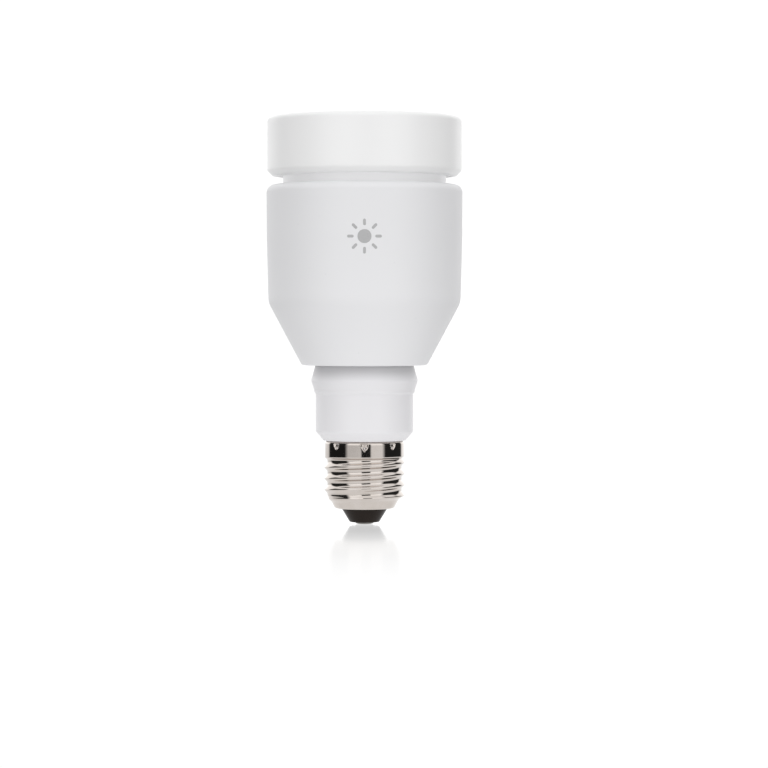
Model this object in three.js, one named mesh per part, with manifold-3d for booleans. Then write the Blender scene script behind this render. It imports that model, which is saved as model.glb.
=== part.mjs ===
// A smart light bulb with an E27 screw cap, in millimetres. The origin is the flat tip of the centre
// contact, and +Z runs up the lamp's axis from the cap to the diffuser.
import * as THREE from 'three';
import { mergeVertices } from 'three/addons/utils/BufferGeometryUtils.js';
import Module from 'manifold-3d';

const wasm = await Module();
wasm.setup();

// ---- Driving dimensions ----

// Gaps between pieces: around a piece that slides into another, and under one that sits on another.
const fitGap = 0.3;
const seatGap = 0.1;

// Screw cap: the 27 mm Edison thread.
const threadPitch = 3.629;
const threadCrestRadius = 13.05;
const threadRootRadius = 12.1;
const threadedLength = 17.2;
const threadPhase = 4.41; // height of a crest above the shell's lip, on the +X side
const threadRunOut = 2.5; // height over which the thread dies out above the shoulder
const skirtRadius = 12.9;
const skirtBlend = 0.9; // height over which the thread's root widens to the skirt
const skirtLength = 5;
const shellWall = 0.35;
const lipInset = 4.3; // how far the shell's lip lies inside the thread's root
const shoulderHeight = 4.4;
const insulatorFootInset = 3; // how far the insulator's foot lies inside the lip
const insulatorHeight = 4.3;
const insulatorDepth = 4.2; // how far the insulator reaches up inside the shell
const contactRadius = 3.1;
const contactTipRadius = 1.7;
const contactHeight = 0.6;
const rivetRadius = 1.3;

// Lower collar: the white plastic neck that is staked into the cap.
const collarLipOverhang = 0.5; // how far the collar's lip stands outside the skirt
const collarRadius = 15.85;
const collarChamferHeight = 2.7;
const collarStraightHeight = 12.7;
const collarStep = 0.25;
const collarStepHeight = 0.6;
const collarFlare = 1.3; // how far the flare stands outside the neck
const collarFlareHeight = 3.9;
const collarNeckHeight = 4.7;
const collarNeckRise = 8; // how far the neck stands up inside the body
const collarWall = 1.6;
const plugLength = 5;

// Body: the white cone and drum.
const bodyTopRadius = 32.05;
const bodyTaper = 0.65; // how much narrower the drum is at the shoulder than at the top
const bodyFootOverhang = 3.05; // how far the body's foot stands outside the collar's flare
const bodyConeHeight = 20.4;
const bodyHeight = 58.8;
const bodyWall = 2;
const bodyFootRound = 1.2;
const bodyShoulderRound = 6;
const bodyTopRound = 2.6;

// Diffuser: a frosted cap with a shallow dome.
const diffuserInset = 0.3; // how much narrower the diffuser is than the body
const diffuserChamferDepth = 1.7;
const diffuserChamferHeight = 1.7;
const diffuserSideHeight = 19.2;
const diffuserCornerRound = 1.75;
const diffuserDomeRise = 1.6;
const diffuserWall = 1.8;

// Ring that stands between the body and the diffuser and makes the groove.
const grooveHeight = 2.9;
const grooveInset = 1.4; // how much narrower the groove's wall is than the spigot
const ringWall = 1.5;
const spigotHeight = 5.3;

// Light engine under the diffuser.
const spreaderWall = 1.2;
const spreaderPlate = 2;
const spreaderFootRise = 8.6; // from the body's shoulder to the foot of the spreader's skirt
const pedestalHeight = 1.9;
const padThickness = 0.5;
const ledBoardThickness = 1.6;
const whiteLedCount = 12;
const whiteLedInset = 7.25; // from the board's edge to the middle of a white LED
const whiteLedSize = [3, 2.8, 0.7];
const colourLedCount = 4;
const colourLedRing = 11.5;
const colourLedSize = [3.5, 3.5, 0.9];
const screwCount = 3;
const screwInset = 3.35; // from the board's edge to the middle of a screw
const screwShankRadius = 1.25;
const screwHeadRadius = 2.2;
const screwHeadHeight = 1.4;
const screwLength = 7;
const leadHoleY = -7;
const leadHoleRadius = 2.6;
const leadSpacing = 2.4;
const connectorSize = [6, 3, 2.6];
const radioBoardSize = [16, 1, 19];
const shieldSize = [11, 1.9, 6.5];
const antennaHeight = 2.6; // bare board above the shield
const headerSize = [13, 5, 3];

// Driver: a board on edge in a plastic sleeve.
const sleeveWall = 1;
const sleeveHeadroom = 3.9; // from the sleeve's lid to the spreader
const sleeveLidThickness = 2;
const sleeveLidSpigot = 1.5;
const driverBoardThickness = 1.6;
const driverBoardFaceY = -3; // front face of the board, where the tall parts stand
const driverBoardFoot = 1.2;
const driverBoardHeadroom = 6.8;
const driverBoardSlip = 0.5; // from the board's corners to the sleeve
const bulkCapacitor = { radius: 5, length: 16, x: -5.4 };
const filmCapacitor = { size: [6.6, 8.8, 12], x: 4.6 };
const coreSize = [16, 6, 17];
const coreLeg = 5;
const coreYoke = 3;
const coreSideLeg = 2.4;
const windingWall = 2.5;
const inductor = { radius: 4, length: 9, core: 2, flange: 1.2, x: -5.5 };
const outputCapacitor = { radius: 4, length: 12, x: 5 };
const varistor = { radius: 3.4, thickness: 2.2, x: -5.5 };
const rectifierSize = [6.4, 2.4, 5.2];
const transistorSize = [6.6, 2.3, 6.2];
const chipSize = [5, 1.6, 4];
const resistor = { radius: 1.7, length: 8, leadRadius: 0.4, footLead: 3, headLead: 2 };
const wireRadius = 0.7;

// Facets around a turned piece.
const largeSegments = 40;
const threadSegments = 32;
const smallSegments = 16;

// ---- Radii that follow from the ones above ----

const lipRadius = threadRootRadius - lipInset;
const insulatorFootRadius = lipRadius - insulatorFootInset;
const collarLipRadius = skirtRadius + collarLipOverhang;
const collarNeckRadius = collarRadius + collarStep;
const collarFlareRadius = collarNeckRadius + collarFlare;
const bodyFootRadius = collarFlareRadius + bodyFootOverhang;
const bodyShoulderRadius = bodyTopRadius - bodyTaper;
const diffuserRadius = bodyTopRadius - diffuserInset;
const diffuserFootRadius = diffuserRadius - diffuserChamferDepth;
const diffuserMouthRadius = diffuserFootRadius - diffuserWall;
const spigotRadius = diffuserMouthRadius - fitGap;
const grooveRadius = spigotRadius - grooveInset;
const ringBoreRadius = grooveRadius - ringWall;
const pedestalRadius = ringBoreRadius - fitGap;
const sleeveRadius = collarRadius - collarWall - fitGap;

// ---- Heights, stacked from the contact's tip ----

const insulatorZ = contactHeight + seatGap;
const lipZ = insulatorZ + insulatorHeight;
const insulatorTopZ = lipZ + shellWall + insulatorDepth;
const threadTopZ = lipZ + threadedLength;
const capTopZ = threadTopZ + skirtLength;
const collarZ = capTopZ + fitGap;
const plugZ = collarZ - plugLength;
const collarStepZ = collarZ + collarChamferHeight + collarStraightHeight;
const collarFlareZ = collarStepZ + collarFlareHeight;
const collarShoulderZ = collarFlareZ + collarNeckHeight;
const bodyZ = collarShoulderZ + fitGap;
const bodyShoulderZ = bodyZ + bodyConeHeight;
const bodyTopZ = bodyZ + bodyHeight;
const diffuserZ = bodyTopZ + grooveHeight;
const spigotTopZ = diffuserZ + spigotHeight;

const spreaderTopZ = bodyTopZ - bodyWall - fitGap;
const spreaderBottomZ = spreaderTopZ - spreaderPlate;
const pedestalZ = spreaderTopZ + pedestalHeight;
const padZ = pedestalZ + seatGap;
const ledBoardZ = padZ + padThickness + seatGap;
const ledBoardTopZ = ledBoardZ + ledBoardThickness;
const partsZ = ledBoardTopZ + seatGap; // underside of what is soldered to the LED board

const sleeveZ = collarZ + collarChamferHeight + fitGap;
const lidTopZ = spreaderBottomZ - sleeveHeadroom;
const lidZ = lidTopZ - sleeveLidThickness;
const sleeveTopZ = lidZ - seatGap;
const driverBoardZ = sleeveZ + driverBoardFoot;
const driverBoardTopZ = sleeveTopZ - driverBoardHeadroom;
const driverBoardLength = driverBoardTopZ - driverBoardZ;
const driverBackY = driverBoardFaceY - driverBoardThickness;
const driverMiddleY = driverBackY + driverBoardThickness / 2;
const standY = driverBoardFaceY + seatGap; // where parts on the driver board's front begin

// ---- Helpers ----

// Turns an outline of [radius, height, round] corners about the Z axis. The outline runs up the
// outside. It starts and ends on the axis, or is closed on itself.
function turned(corners, segments = largeSegments) {
  const points = corners.flatMap(([radius, height, round = 0], i) => {
    const here = new THREE.Vector2(radius, height);
    const before = corners[(i + corners.length - 1) % corners.length];
    const after = corners[(i + 1) % corners.length];
    return round ? roundedCorner(before, here, after, round) : [here];
  });
  if (corners[0][0] > 0) {
    points.push(points[0].clone());
  }
  return new THREE.LatheGeometry(points, segments).rotateX(Math.PI / 2);
}

// The arc of the given radius that joins the lines from a corner to the ones before and after it.
function roundedCorner(before, corner, after, radius) {
  const back = new THREE.Vector2(before[0], before[1]).sub(corner).normalize();
  const ahead = new THREE.Vector2(after[0], after[1]).sub(corner).normalize();
  const half = Math.acos(back.dot(ahead)) / 2;
  const middle = back.clone().add(ahead).normalize();
  const centre = corner.clone().addScaledVector(middle, radius / Math.sin(half));
  const start = corner.clone().addScaledVector(back, radius / Math.tan(half)).sub(centre);
  const end = corner.clone().addScaledVector(ahead, radius / Math.tan(half)).sub(centre);
  const sweep = Math.atan2(start.cross(end), start.dot(end));
  const steps = Math.max(1, Math.round(Math.abs(sweep) / (Math.PI / 7)));
  return Array.from({ length: steps + 1 }, (_, i) => (
    start.clone().rotateAround(new THREE.Vector2(), (sweep * i) / steps).add(centre)));
}

// An outline moved to its inner side by a wall, along the mean normal of the lines at each point.
function inset(outline, wall) {
  return outline.map(([radius, height], i) => {
    const [fromRadius, fromHeight] = outline[Math.max(i - 1, 0)];
    const [toRadius, toHeight] = outline[Math.min(i + 1, outline.length - 1)];
    const length = Math.hypot(toRadius - fromRadius, toHeight - fromHeight);
    return [
      radius - (wall * (toHeight - fromHeight)) / length,
      height + (wall * (toRadius - fromRadius)) / length,
    ];
  });
}

// A flat disc from its radius, its underside and its thickness.
function disc(radius, z, thickness) {
  return turned([[0, z], [radius, z], [radius, z + thickness], [0, z + thickness]]);
}

// A box from its size, its centre in X and Y, and its underside.
function block([width, depth, height], x, y, z) {
  return new THREE.BoxGeometry(width, depth, height).translate(x, y, z + height / 2);
}

// An upright rod from its radius, its length, its axis in X and Y, and its underside.
function rod(radius, length, x, y, z) {
  const standing = new THREE.CylinderGeometry(radius, radius, length, smallSegments);
  return standing.rotateX(Math.PI / 2).translate(x, y, z + length / 2);
}

// A round wire through the given points.
function wire(points) {
  const section = new THREE.Shape().absarc(0, 0, wireRadius, 0, Math.PI * 2);
  const path = new THREE.CatmullRomCurve3(points.map((point) => new THREE.Vector3(...point)));
  return new THREE.ExtrudeGeometry(section, {
    extrudePath: path,
    steps: 10,
    curveSegments: 4,
  });
}

function solidOf(geometry) {
  const bare = geometry.clone();
  bare.deleteAttribute('normal');
  bare.deleteAttribute('uv');
  const merged = mergeVertices(bare, 1e-4);
  return new wasm.Manifold(new wasm.Mesh({
    numProp: 3,
    vertProperties: merged.attributes.position.array,
    triVerts: new Uint32Array(merged.index.array),
  }));
}

// The geometry with each of the tools cut away from it.
function cut(geometry, tools) {
  let solid = solidOf(geometry);
  for (const tool of tools) {
    solid = solid.subtract(solidOf(tool));
  }
  const { vertProperties, triVerts } = solid.getMesh();
  const result = new THREE.BufferGeometry();
  result.setAttribute('position', new THREE.BufferAttribute(vertProperties, 3));
  result.setIndex(new THREE.BufferAttribute(triVerts, 1));
  result.computeVertexNormals();
  return result;
}

// Places spread evenly on a ring, the first one turned from +X by the start angle.
function ringPlaces(count, radius, startDegrees) {
  return Array.from({ length: count }, (_, i) => {
    const angle = THREE.MathUtils.degToRad(startDegrees + (360 * i) / count);
    return { x: radius * Math.cos(angle), y: radius * Math.sin(angle), angle };
  });
}

// The undersides of parts stacked along a stretch, with the free length shared out between them.
function spread(lengths, start, total) {
  const used = lengths.reduce((sum, length) => sum + length, 0);
  const gap = (total - used) / (lengths.length + 1);
  let z = start;
  return lengths.map((length) => {
    const underside = z + gap;
    z = underside + length;
    return underside;
  });
}

const bulb = new THREE.Group();

function add(name, geometry, { color, roughness, metalness = 0 }) {
  const material = new THREE.MeshStandardMaterial({ color, roughness, metalness });
  const mesh = new THREE.Mesh(geometry, material);
  mesh.name = name;
  bulb.add(mesh);
}

// ---- Finishes ----

const frosted = { color: 0xf4f5f6, roughness: 0.45 };
const whitePlastic = { color: 0xe9eaec, roughness: 0.4 };
const greyPlastic = { color: 0xb9bbbe, roughness: 0.5 };
const blackPlastic = { color: 0x1b1b1c, roughness: 0.5 };
const nickel = { color: 0xc9c4bb, roughness: 0.2, metalness: 1 };
const tin = { color: 0xb8b8b8, roughness: 0.35, metalness: 1 };
const zinc = { color: 0xa9abad, roughness: 0.35, metalness: 1 };
const rawAluminium = { color: 0xb4b6b8, roughness: 0.4, metalness: 1 };
const copper = { color: 0xb5673a, roughness: 0.3, metalness: 1 };
const darkGlass = { color: 0x2a2622, roughness: 0.25 };
const silicone = { color: 0xd9dadb, roughness: 0.6 };
const thermalGrey = { color: 0x8d98a5, roughness: 0.8 };
const whiteMask = { color: 0xf0f0ec, roughness: 0.4 };
const greenMask = { color: 0x1c5a35, roughness: 0.4 };
const phosphor = { color: 0xe8c84a, roughness: 0.4 };
const clearLens = { color: 0xdfe3e4, roughness: 0.25 };
const ferrite = { color: 0x3a3835, roughness: 0.7 };
const yellowTape = { color: 0xd9b331, roughness: 0.5 };
const canSleeve = { color: 0x2c2f45, roughness: 0.4 };
const redBox = { color: 0x9c2f26, roughness: 0.5 };
const blueLacquer = { color: 0x2f5fa8, roughness: 0.5 };
const greenLacquer = { color: 0x5c7f5a, roughness: 0.5 };
const redWire = { color: 0xb8281f, roughness: 0.5 };
const blackWire = { color: 0x222222, roughness: 0.5 };
const whiteWire = { color: 0xe6e6e2, roughness: 0.5 };

// ---- Screw cap ----

const shoulderTopZ = lipZ + shoulderHeight;

// 0 at the start of the skirt's blend, 1 at its end, where the thread has died out.
const skirtShare = (height) => (
  THREE.MathUtils.smoothstep(height, threadTopZ - skirtBlend, threadTopZ));

// Distance that the thread pushes the shell's wall out at a height and an angle: one round wave for
// each pitch, rising with the angle as a right-hand thread does, and dying out at both ends.
function threadRise(height, angle) {
  const turns = (height - lipZ - threadPhase) / threadPitch - angle / (2 * Math.PI);
  const wave = 0.5 + 0.5 * Math.cos(2 * Math.PI * turns);
  const start = THREE.MathUtils.smoothstep(height, shoulderTopZ - threadRunOut, shoulderTopZ);
  return (threadCrestRadius - threadRootRadius) * wave * start * (1 - skirtShare(height));
}

// The drawn metal shell: one even wall, rolled into the thread, with a plain skirt above it.
function screwShell() {
  const outside = [
    [lipRadius, lipZ],
    [lipRadius + 0.3 * lipInset, lipZ + 0.08 * shoulderHeight],
    [lipRadius + 0.46 * lipInset, lipZ + 0.18 * shoulderHeight],
    [lipRadius + 0.65 * lipInset, lipZ + 0.43 * shoulderHeight],
    [lipRadius + 0.83 * lipInset, lipZ + 0.73 * shoulderHeight],
    [threadRootRadius, shoulderTopZ],
  ];
  const rows = Math.ceil((5 * (threadTopZ - shoulderTopZ)) / threadPitch);
  for (let i = 1; i <= rows; i++) {
    const height = THREE.MathUtils.lerp(shoulderTopZ, threadTopZ, i / rows);
    outside.push([THREE.MathUtils.lerp(threadRootRadius, skirtRadius, skirtShare(height)), height]);
  }
  outside.push([skirtRadius, capTopZ]);
  const inside = inset(outside, shellWall).reverse();
  const shell = turned([...outside, ...inside], threadSegments);
  const position = shell.attributes.position;
  for (let i = 0; i < position.count; i++) {
    const x = position.getX(i);
    const y = position.getY(i);
    const radius = Math.hypot(x, y);
    const grown = (radius + threadRise(position.getZ(i), Math.atan2(y, x))) / radius;
    position.setXY(i, x * grown, y * grown);
  }
  return shell;
}

// The insulator is a glassy cone outside the shell, a neck through its lip and a plug inside it.
function capInsulator() {
  const bore = rivetRadius + fitGap;
  const neck = lipRadius - shellWall - seatGap;
  const plug = lipRadius + 0.6 * lipInset;
  return turned([
    [bore, insulatorZ],
    [insulatorFootRadius, insulatorZ, 0.3],
    [neck, lipZ - seatGap],
    [neck, lipZ + 2 * shellWall],
    [neck + 0.4 * lipInset, lipZ + 0.45 * insulatorDepth],
    [plug, lipZ + 0.95 * insulatorDepth],
    [plug, insulatorTopZ],
    [bore, insulatorTopZ],
  ]);
}

// The rivet that carries the live side: a flat-tipped pip, with a shank up through the insulator.
function centreContact() {
  return turned([
    [0, 0],
    [contactTipRadius, 0],
    [contactRadius - 0.3, 0.4 * contactHeight],
    [contactRadius, contactHeight],
    [rivetRadius, contactHeight],
    [rivetRadius, insulatorTopZ - fitGap],
    [0, insulatorTopZ - fitGap],
  ], smallSegments);
}

add('centre_contact', centreContact(), tin);
add('cap_insulator', capInsulator(), darkGlass);
add('screw_shell', screwShell(), nickel);

// ---- Lower collar ----

// The collar's plug fits the skirt, its outside flares under the body, and its neck enters the body.
function neckCollar() {
  const plugRadius = skirtRadius - shellWall - fitGap;
  const neckTopZ = bodyZ + bodyWall + collarNeckRise;
  const inside = collarRadius - collarWall;
  return turned([
    [plugRadius - collarWall, plugZ],
    [plugRadius, plugZ],
    [plugRadius, collarZ],
    [collarLipRadius, collarZ, 0.15],
    [collarRadius, collarZ + collarChamferHeight, 1.2],
    [collarRadius, collarStepZ - collarStepHeight],
    [collarNeckRadius, collarStepZ],
    [collarFlareRadius, collarFlareZ, 0.6],
    [collarNeckRadius, collarShoulderZ],
    [collarNeckRadius, neckTopZ],
    [inside, neckTopZ],
    [inside, collarZ + collarChamferHeight],
    [plugRadius - collarWall, collarZ + collarChamferHeight - 2],
  ]);
}

add('neck_collar', neckCollar(), whitePlastic);

// ---- Body ----

// The body is one wall with a hole in its foot for the collar's neck and one in its top for the ring.
function bodyShell() {
  const neckHole = collarNeckRadius + fitGap;
  const ringHole = grooveRadius + fitGap;
  return turned([
    [neckHole, bodyZ],
    [bodyFootRadius, bodyZ, bodyFootRound],
    [bodyShoulderRadius, bodyShoulderZ, bodyShoulderRound],
    [bodyTopRadius, bodyTopZ, bodyTopRound],
    [ringHole, bodyTopZ],
    [ringHole, bodyTopZ - bodyWall],
    [bodyTopRadius - bodyWall, bodyTopZ - bodyWall],
    [bodyShoulderRadius - bodyWall, bodyShoulderZ + 0.3 * bodyWall],
    [bodyFootRadius - 0.8 * bodyWall, bodyZ + bodyWall],
    [neckHole, bodyZ + bodyWall],
  ]);
}

add('body_shell', bodyShell(), whitePlastic);

// ---- Light engine ----

const screwPlaces = ringPlaces(screwCount, pedestalRadius - screwInset, 90);

// The holes that run up through the stack under the LEDs: for the screws, the radio board and the leads.
function stackHoles() {
  const footZ = spreaderBottomZ - 1;
  const tall = diffuserZ - footZ;
  const [width, depth] = radioBoardSize;
  return [
    ...screwPlaces.map(({ x, y }) => rod(screwShankRadius + fitGap, tall, x, y, footZ)),
    block([width + 4 * fitGap, depth + 4 * fitGap, tall], 0, 0, footZ),
    rod(leadHoleRadius, tall, 0, leadHoleY, footZ),
  ];
}

// The aluminium cup that the body is moulded over: a plate and pedestal, and a skirt down the wall.
function heatSpreader() {
  const slope = bodyTaper / (bodyHeight - bodyConeHeight);
  const top = bodyTopRadius - bodyWall - fitGap - slope * (bodyWall + fitGap);
  const footZ = bodyShoulderZ + spreaderFootRise;
  const foot = top - slope * (spreaderTopZ - footZ);
  const cup = turned([
    [0, spreaderBottomZ],
    [top - spreaderWall, spreaderBottomZ],
    [foot - spreaderWall, footZ],
    [foot, footZ],
    [top, spreaderTopZ],
    [pedestalRadius, spreaderTopZ],
    [pedestalRadius, pedestalZ],
    [0, pedestalZ],
  ]);
  return cut(cup, stackHoles());
}

function boardScrew({ x, y }) {
  const headTopZ = partsZ + screwHeadHeight;
  return turned([
    [0, partsZ - screwLength],
    [screwShankRadius, partsZ - screwLength],
    [screwShankRadius, partsZ],
    [screwHeadRadius, partsZ],
    [screwHeadRadius, headTopZ, 0.5],
    [0, headTopZ],
  ], smallSegments).translate(x, y, 0);
}

// An LED package turned to face the centre of its ring.
function ledPackage(size, { x, y, angle }) {
  return block(size, 0, 0, partsZ).rotateZ(angle).translate(x, y, 0);
}

add('heat_spreader', heatSpreader(), rawAluminium);
add('thermal_pad', cut(disc(pedestalRadius, padZ, padThickness), stackHoles()), thermalGrey);
add('led_board', cut(disc(pedestalRadius, ledBoardZ, ledBoardThickness), stackHoles()), whiteMask);
screwPlaces.forEach((place, i) => {
  add(`board_screw_${i + 1}`, boardScrew(place), zinc);
});

const whiteLedRing = pedestalRadius - whiteLedInset;
ringPlaces(whiteLedCount, whiteLedRing, 180 / whiteLedCount).forEach((place, i) => {
  add(`white_led_${i + 1}`, ledPackage(whiteLedSize, place), phosphor);
});
ringPlaces(colourLedCount, colourLedRing, 180 / colourLedCount).forEach((place, i) => {
  add(`colour_led_${i + 1}`, ledPackage(colourLedSize, place), clearLens);
});

const connectorY = leadHoleY - leadHoleRadius - fitGap - connectorSize[1] / 2;
add('led_connector', block(connectorSize, 0, connectorY, partsZ), whitePlastic);

// ---- Radio ----

const headerZ = lidTopZ + seatGap;
const radioBoardZ = headerZ + headerSize[2] / 2;
const radioBoardTopZ = radioBoardZ + radioBoardSize[2];

// The socket on the sleeve's lid that the radio board plugs into.
function radioHeader() {
  const [width, depth] = radioBoardSize;
  const slot = block([width, depth + 2 * fitGap, headerSize[2]], 0, 0, radioBoardZ - fitGap);
  return cut(block(headerSize, 0, 0, headerZ), [slot]);
}

function radioShield() {
  const y = (radioBoardSize[1] + shieldSize[1]) / 2 + seatGap;
  return block(shieldSize, 0, y, radioBoardTopZ - antennaHeight - shieldSize[2]);
}

add('radio_board', block(radioBoardSize, 0, 0, radioBoardZ), greenMask);
add('radio_shield', radioShield(), tin);
add('radio_header', radioHeader(), blackPlastic);

// ---- Diffuser and its ring ----

const sealZ = diffuserZ + diffuserChamferHeight + diffuserWall - 0.5;
const sealTopZ = spigotTopZ - fitGap;

// The ring stands on the spreader, makes the groove's wall and ends in a spigot inside the diffuser.
function diffuserRing() {
  const footZ = spreaderTopZ + fitGap;
  return turned([
    [ringBoreRadius, footZ],
    [grooveRadius, footZ],
    [grooveRadius, diffuserZ],
    [spigotRadius, diffuserZ + seatGap],
    [spigotRadius, spigotTopZ],
    [spigotRadius - ringWall, spigotTopZ],
    [ringBoreRadius, diffuserZ + seatGap],
  ]);
}

// A bead of silicone in the corner between the spigot and the diffuser's wall.
function diffuserSeal() {
  const inner = spigotRadius + fitGap;
  const outer = diffuserRadius - diffuserWall - fitGap;
  return turned([[inner, sealZ], [outer, sealZ], [outer, sealTopZ], [inner, sealTopZ]]);
}

// Height of the dome above its edge, at a distance from the axis: part of a large sphere.
function domeRise(radius) {
  const edge = diffuserRadius - diffuserCornerRound;
  const sphere = (edge ** 2 + diffuserDomeRise ** 2) / (2 * diffuserDomeRise);
  return Math.sqrt(sphere ** 2 - radius ** 2) - Math.sqrt(sphere ** 2 - edge ** 2);
}

// The diffuser is one wall: a mouth over the spigot, a chamfer, a straight side and the dome.
function diffuser() {
  const edge = diffuserRadius - diffuserCornerRound;
  const inside = diffuserRadius - diffuserWall;
  const topZ = diffuserZ + diffuserSideHeight;
  const dome = [0.67, 0.33, 0].map((share) => [edge * share, topZ + domeRise(edge * share)]);
  return turned([
    ...dome.map(([radius, height]) => [radius, height - diffuserWall]).reverse(),
    [inside, topZ - diffuserWall, 0.5],
    [inside, diffuserZ + diffuserChamferHeight + 0.5 * diffuserWall],
    [diffuserMouthRadius, diffuserZ + 0.5 * diffuserWall],
    [diffuserMouthRadius, diffuserZ],
    [diffuserFootRadius, diffuserZ, 0.25],
    [diffuserRadius, diffuserZ + diffuserChamferHeight, 1],
    [diffuserRadius, topZ, diffuserCornerRound],
    ...dome,
  ]);
}

add('diffuser_ring', diffuserRing(), whitePlastic);
add('diffuser_seal', diffuserSeal(), silicone);
add('diffuser', diffuser(), frosted);

// ---- Driver ----

// The sleeve that keeps the mains parts away from the metal.
function driverSleeve() {
  const bore = sleeveRadius - sleeveWall;
  return turned([
    [bore, sleeveZ],
    [sleeveRadius, sleeveZ],
    [sleeveRadius, sleeveTopZ],
    [bore, sleeveTopZ],
  ]);
}

// The sleeve's lid, with a spigot inside the sleeve and a hole for the leads.
function sleeveLid() {
  const spigot = sleeveRadius - sleeveWall - fitGap;
  const lid = turned([
    [0, lidZ - sleeveLidSpigot],
    [spigot, lidZ - sleeveLidSpigot],
    [spigot, lidZ],
    [sleeveRadius, lidZ],
    [sleeveRadius, lidTopZ],
    [0, lidTopZ],
  ]);
  const footZ = lidZ - sleeveLidSpigot - 1;
  return cut(lid, [rod(leadHoleRadius, lidTopZ + 1 - footZ, 0, leadHoleY, footZ)]);
}

function driverBoard() {
  const bore = sleeveRadius - sleeveWall - driverBoardSlip;
  const width = 2 * Math.sqrt(bore ** 2 - driverBackY ** 2);
  return block([width, driverBoardThickness, driverBoardLength], 0, driverMiddleY, driverBoardZ);
}

// A can that lies against the board with its axis upright.
function electrolytic({ radius, length, x }, z) {
  return turned([
    [0, 0],
    [radius, 0, 0.6],
    [radius, length, 0.6],
    [0, length],
  ], smallSegments).translate(x, standY + radius, z);
}

const coreY = standY + windingWall + fitGap + coreSize[1] / 2;

// Two E-shaped ferrite halves closed into one core with two windows.
function transformerCore(z) {
  const [width, depth, height] = coreSize;
  const windowWidth = (width - coreLeg) / 2 - coreSideLeg;
  const windowSize = [windowWidth, depth + 2, height - 2 * coreYoke];
  const windows = [-1, 1].map((side) => (
    block(windowSize, (side * (coreLeg + windowWidth)) / 2, coreY, z + coreYoke)));
  return cut(block(coreSize, 0, coreY, z), windows);
}

// The taped winding around the core's middle leg.
function transformerWinding(z) {
  const [, depth, height] = coreSize;
  const hole = [coreLeg + 2 * fitGap, depth + 2 * fitGap];
  const tall = height - 2 * coreYoke - 2 * fitGap;
  const [width, thickness] = hole.map((size) => size + 2 * windingWall);
  const coil = block([width, thickness, tall], 0, coreY, z + coreYoke + fitGap);
  return cut(coil, [block([...hole, height], 0, coreY, z)]);
}

// A ferrite drum with its winding sunk between two flanges.
function outputInductor({ radius, length, core, flange, x }, z) {
  return turned([
    [0, 0],
    [radius, 0],
    [radius, flange],
    [core, flange],
    [core, length - flange],
    [radius, length - flange],
    [radius, length],
    [0, length],
  ], smallSegments).translate(x, standY + radius, z);
}

// A lacquered disc that lies flat against the board.
function varistorDisc({ radius, thickness, x }, z) {
  return turned([
    [0, 0],
    [radius, 0, 0.6],
    [radius, thickness, 0.6],
    [0, thickness],
  ], smallSegments).rotateX(-Math.PI / 2).translate(x, standY, z + radius);
}

// The fusible resistor stands in the cap, with its leads to the contact and towards the board.
const resistorZ = insulatorTopZ + resistor.footLead;
function fusibleResistor({ radius, length, leadRadius, footLead, headLead }) {
  const topZ = resistorZ + length;
  return turned([
    [0, resistorZ - footLead],
    [leadRadius, resistorZ - footLead],
    [leadRadius, resistorZ],
    [radius, resistorZ, 0.6],
    [radius, topZ, 0.6],
    [leadRadius, topZ],
    [leadRadius, topZ + headLead],
    [0, topZ + headLead],
  ], smallSegments);
}

add('driver_sleeve', driverSleeve(), greyPlastic);
add('sleeve_lid', sleeveLid(), greyPlastic);
add('driver_board', driverBoard(), greenMask);

const leftLengths = [bulkCapacitor.length, coreSize[2], inductor.length, 2 * varistor.radius];
const [bulkZ, coreZ, inductorZ, varistorZ] = spread(leftLengths, driverBoardZ, driverBoardLength);
add('bulk_capacitor', electrolytic(bulkCapacitor, bulkZ), canSleeve);
add('transformer_core', transformerCore(coreZ), ferrite);
add('transformer_winding', transformerWinding(coreZ), yellowTape);
add('output_inductor', outputInductor(inductor, inductorZ), copper);
add('varistor', varistorDisc(varistor, varistorZ), blueLacquer);

const [filmWidth, filmDepth] = filmCapacitor.size;
const filmX = filmCapacitor.x;
add('film_capacitor', block([filmWidth, filmDepth, filmCapacitor.size[2]],
  filmX, standY + filmDepth / 2, bulkZ), redBox);
add('output_capacitor', electrolytic(outputCapacitor, inductorZ), canSleeve);
add('fusible_resistor', fusibleResistor(resistor), greenLacquer);

// Flat parts soldered to the back of the board.
const backParts = [
  ['bridge_rectifier', rectifierSize],
  ['power_transistor', transistorSize],
  ['driver_chip', chipSize],
];
const backHeights = spread(backParts.map(([, size]) => size[2]), driverBoardZ, driverBoardLength);
backParts.forEach(([name, size], i) => {
  add(name, block(size, 0, driverBackY - seatGap - size[1] / 2, backHeights[i]), blackPlastic);
});

// ---- Wires ----

const liveStartZ = resistorZ + resistor.length + resistor.headLead + fitGap;
const boardFootZ = driverBoardZ - fitGap;
const liveBendZ = (liveStartZ + boardFootZ) / 2;
const neutralX = 6;
const neutralEndZ = plugZ - wireRadius - fitGap;
const neutralEndX = threadRootRadius - shellWall - wireRadius - fitGap;

add('live_wire', wire([
  [0, 0, liveStartZ],
  [0, 0, liveBendZ - 1],
  [0, driverMiddleY, liveBendZ + 1.5],
  [0, driverMiddleY, boardFootZ],
]), redWire);

add('neutral_wire', wire([
  [neutralX, driverMiddleY, boardFootZ],
  [neutralX, driverMiddleY, (boardFootZ + neutralEndZ) / 2],
  [neutralX + 1, driverMiddleY / 2, neutralEndZ + wireRadius],
  [neutralEndX, 0, neutralEndZ],
]), blackWire);

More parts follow.
